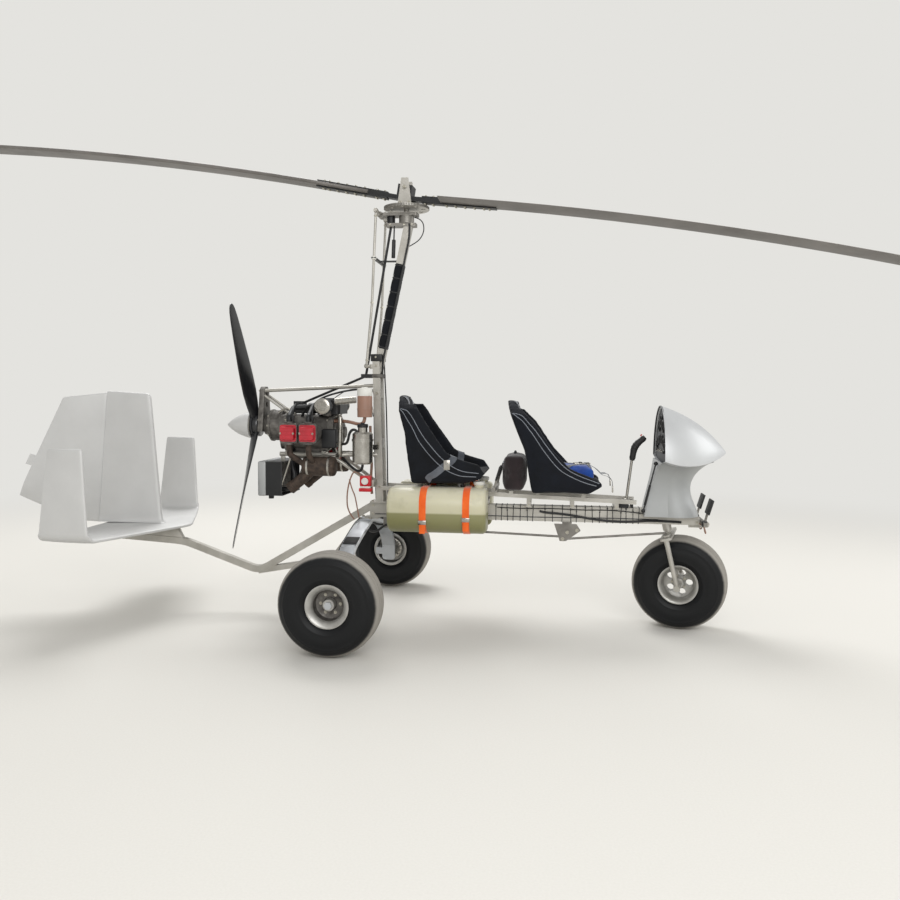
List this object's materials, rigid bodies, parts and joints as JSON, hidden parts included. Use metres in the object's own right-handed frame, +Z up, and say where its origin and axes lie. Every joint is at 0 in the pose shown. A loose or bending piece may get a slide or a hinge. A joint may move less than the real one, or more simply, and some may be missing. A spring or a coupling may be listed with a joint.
{
  "type": "tandem-seat gyrocopter",
  "caption": "Open-frame pusher gyrocopter with tandem bucket seats, teetering rotor, flat engine, side fuel tanks, tail boom with fin and end-plated tailplane.",
  "frame": {"origin": "on the ground under the rotor hub, the centre of the base of the bounding box", "axes": "+X to the nose, +Y to port, +Z up"},
  "size_m": [7.2213, 2.008, 3.1996],
  "materials": {
    "silver_paint": "satin",
    "frame_steel": "satin",
    "engine_alloy": "matte",
    "rim_alloy": "satin",
    "tyre_rubber": "matte",
    "black_metal": "satin",
    "black_alloy": "satin",
    "silver_alloy": "satin",
    "silver_shell": "satin",
    "red_cover": "gloss",
    "rusty_exhaust": "matte",
    "rotor_grey": "satin",
    "propeller_black": "satin",
    "tank_plastic": "satin",
    "strap_orange": "matte",
    "seat_black": "matte",
    "seat_grey": "matte",
    "cushion_blue": "matte",
    "bag_brown": "matte",
    "grip_black": "matte",
    "panel_dark": "matte"
  },
  "bodies": {
    "airframe": {"keel": "frame_steel", "seat_rails": "frame_steel", "mast_lower": "frame_steel", "mast_upper": "frame_steel", "tail_boom": "silver_paint", "tailplane": "silver_alloy", "fin": "silver_alloy", "gear_legs": "silver_alloy", "pod_shell": "silver_shell", "pod_pedestal": "silver_shell", "instrument_panel": "panel_dark", "fuel_tanks": "tank_plastic", "tank_straps": "strap_orange", "seat_front": "seat_black", "seat_rear": "seat_grey", "cushion_front": "cushion_blue", "stowage_bag": "bag_brown", "pedals": "frame_steel", "control_stick": "grip_black", "steering_linkage": "frame_steel", "crankcase": "engine_alloy", "cylinders": "engine_alloy", "rocker_covers": "red_cover", "gearbox": "engine_alloy", "intake": "black_alloy", "exhaust": "rusty_exhaust", "radiator": "black_alloy", "oil_tank": "frame_steel", "engine_mount": "frame_steel", "rotor_head": "frame_steel", "control_rods": "frame_steel", "prerotator": "black_metal"},
    "rudder": {"rudder": "silver_alloy"},
    "nose_fork": {"fork": "silver_paint"},
    "nose_wheel": {"tyre_nose": "tyre_rubber", "rim_nose": "rim_alloy"},
    "main_wheel_left": {"tyre_left": "tyre_rubber", "rim_left": "rim_alloy"},
    "main_wheel_right": {"tyre_right": "tyre_rubber", "rim_right": "rim_alloy"},
    "rotor_mast": {"rotor_tower": "frame_steel"},
    "rotor": {"hub_bar": "black_alloy", "rotor_blades": "rotor_grey"},
    "propeller": {"propeller": "propeller_black", "spinner": "silver_alloy"}
  },
  "joints": [
    {"name": "nose_steer", "type": "hinge", "parent": "airframe", "child": "nose_fork", "pos_m": [1.742, 0, 0.29], "axis": [-0.2349, 0, 0.972], "range_deg": [-12, 38]},
    {"name": "nose_wheel_spin", "type": "hinge", "parent": "nose_fork", "child": "nose_wheel", "pos_m": [1.742, 0, 0.29], "axis": [0.2187, 0.9744, 0.0528], "continuous": true},
    {"name": "main_wheel_left_spin", "type": "hinge", "parent": "airframe", "child": "main_wheel_left", "pos_m": [-0.254, 0.886, 0.29], "axis": [0, 1, 0], "continuous": true},
    {"name": "main_wheel_right_spin", "type": "hinge", "parent": "airframe", "child": "main_wheel_right", "pos_m": [-0.254, -0.886, 0.29], "axis": [0, 1, 0], "continuous": true},
    {"name": "rudder_hinge", "type": "hinge", "parent": "airframe", "child": "rudder", "pos_m": [-2.113, 0, 0.6], "axis": [0.083, 0, 0.9965], "range_deg": [-40, 10]},
    {"name": "rotor_spin", "type": "hinge", "parent": "airframe", "child": "rotor_mast", "pos_m": [0, 0, 2.68], "axis": [0, 0, 1], "continuous": true},
    {"name": "rotor_teeter", "type": "hinge", "parent": "rotor_mast", "child": "rotor", "pos_m": [0, 0, 2.742], "axis": [-0.061, -0.9981, 0], "range_deg": [0, 17.6]},
    {"name": "propeller_spin", "type": "hinge", "parent": "airframe", "child": "propeller", "pos_m": [-0.997, 0, 1.236], "axis": [-1, 0, 0], "continuous": true}
  ]
}
